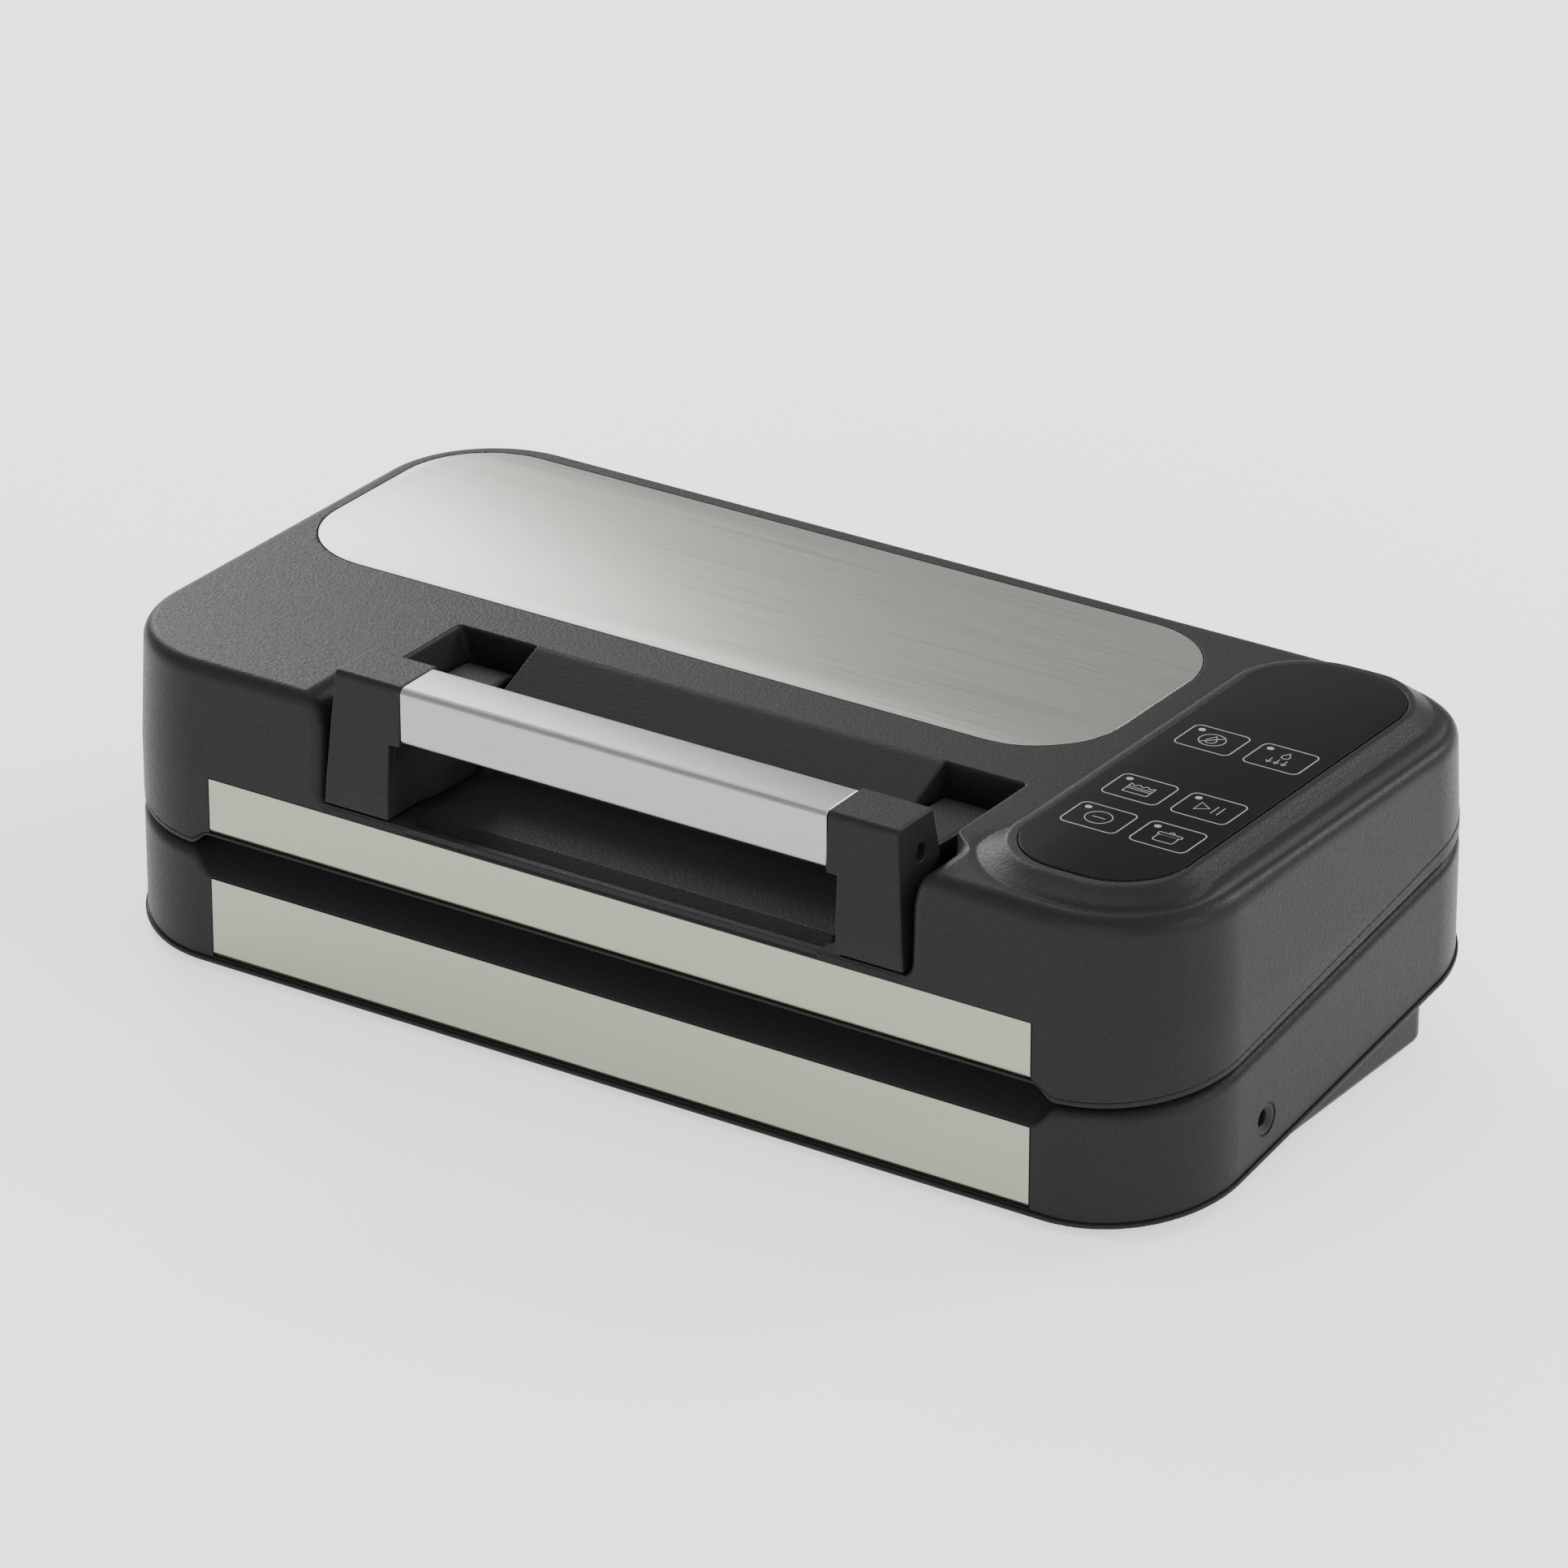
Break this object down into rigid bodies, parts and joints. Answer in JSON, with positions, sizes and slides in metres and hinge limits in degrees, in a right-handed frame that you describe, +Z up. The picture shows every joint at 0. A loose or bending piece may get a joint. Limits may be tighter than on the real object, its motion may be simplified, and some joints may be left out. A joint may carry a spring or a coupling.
{
  "type": "vacuum sealer",
  "caption": "Low wedge-bottomed countertop vacuum sealer with a hinged lid, steel trims, a touch panel and a lift-up bar handle that works the latch hooks.",
  "frame": {"origin": "middle of the bounding box's underside, on the plane of the rubber feet", "axes": "+X to the user's right along the bag mouth, +Y to the hinge at the rear, +Z up"},
  "size_m": [0.3956, 0.2054, 0.1146],
  "materials": {
    "casing": "fine spark-eroded texture, dark grey",
    "inner_casing": "matt, darker grey",
    "steel": "fine brushing along the width",
    "bar": "satin",
    "panel": "gloss black with pale printed key outlines",
    "rubber": "matt black",
    "silicone": "satin red silicone",
    "zinc": "zinc plated",
    "clear_plastic": "natural moulding",
    "ptfe": "woven, coated",
    "copper": "enamelled",
    "board": "solder mask",
    "part_yellow": "transformer tape",
    "part_blue": "sleeve"
  },
  "bodies": {
    "base": {"base_shell": "casing", "bottom_cover": "casing", "base_trim": "steel", "rubber_feet": "rubber", "bottom_screws": "zinc", "heater_bar": "inner_casing", "heating_strip": "copper", "ptfe_tape": "ptfe", "heater_terminals": "zinc", "drip_tray": "clear_plastic", "lower_gasket": "rubber", "suction_nozzle": "inner_casing", "latch_catches": "zinc", "hinge_pins": "zinc", "hose_port": "inner_casing", "port_tube": "clear_plastic", "suction_tube": "clear_plastic", "release_valve": "inner_casing", "pump_frame": "inner_casing", "pump_head": "inner_casing", "pump_rod": "clear_plastic", "pump_grommets": "rubber", "motor_can": "zinc", "motor_magnets": "rubber", "power_inlet": "inner_casing", "inlet_pins": "zinc", "power_board": "board", "transformer": "part_yellow", "capacitors": "part_blue", "relay": "part_blue", "heat_sink": "bar", "board_screws": "zinc", "lid_switch": "inner_casing"},
    "lid": {"lid_cover": "casing", "lid_liner": "inner_casing", "top_plate": "steel", "lid_trim": "steel", "touch_panel": "panel", "panel_board": "board", "touch_springs": "zinc", "key_lamps": "clear_plastic", "upper_gasket": "rubber", "pressure_strip": "silicone", "lid_screws": "zinc"},
    "handle": {"handle_bar": "bar", "handle_arm_left": "casing", "handle_arm_right": "casing", "arm_screws": "zinc", "latch_shaft": "zinc", "latch_hooks": "zinc"},
    "pump_rotor": {"motor_shaft": "zinc", "motor_armature": "copper", "crank": "zinc"},
    "switch_plunger": {"switch_plunger": "silicone"}
  },
  "joints": [
    {"name": "lid_hinge", "type": "hinge", "parent": "base", "child": "lid", "pos_m": [0, 0.0991, 0.07176], "axis": [-1, 0, 0], "range_deg": [0, 60]},
    {"name": "handle_pivot", "type": "hinge", "parent": "lid", "child": "handle", "pos_m": [0, -0.0449, 0.086], "axis": [-1, 0, 0], "range_deg": [0, 40]},
    {"name": "pump_spin", "type": "hinge", "parent": "base", "child": "pump_rotor", "pos_m": [0.03, 0.0281, 0.024], "axis": [1, 0, 0], "continuous": true},
    {"name": "lid_switch_travel", "type": "slide", "parent": "base", "child": "switch_plunger", "axis": [0, 0.153, -0.9882], "range_m": [0, 0.0012], "stiffness_N_per_m": 150}
  ]
}
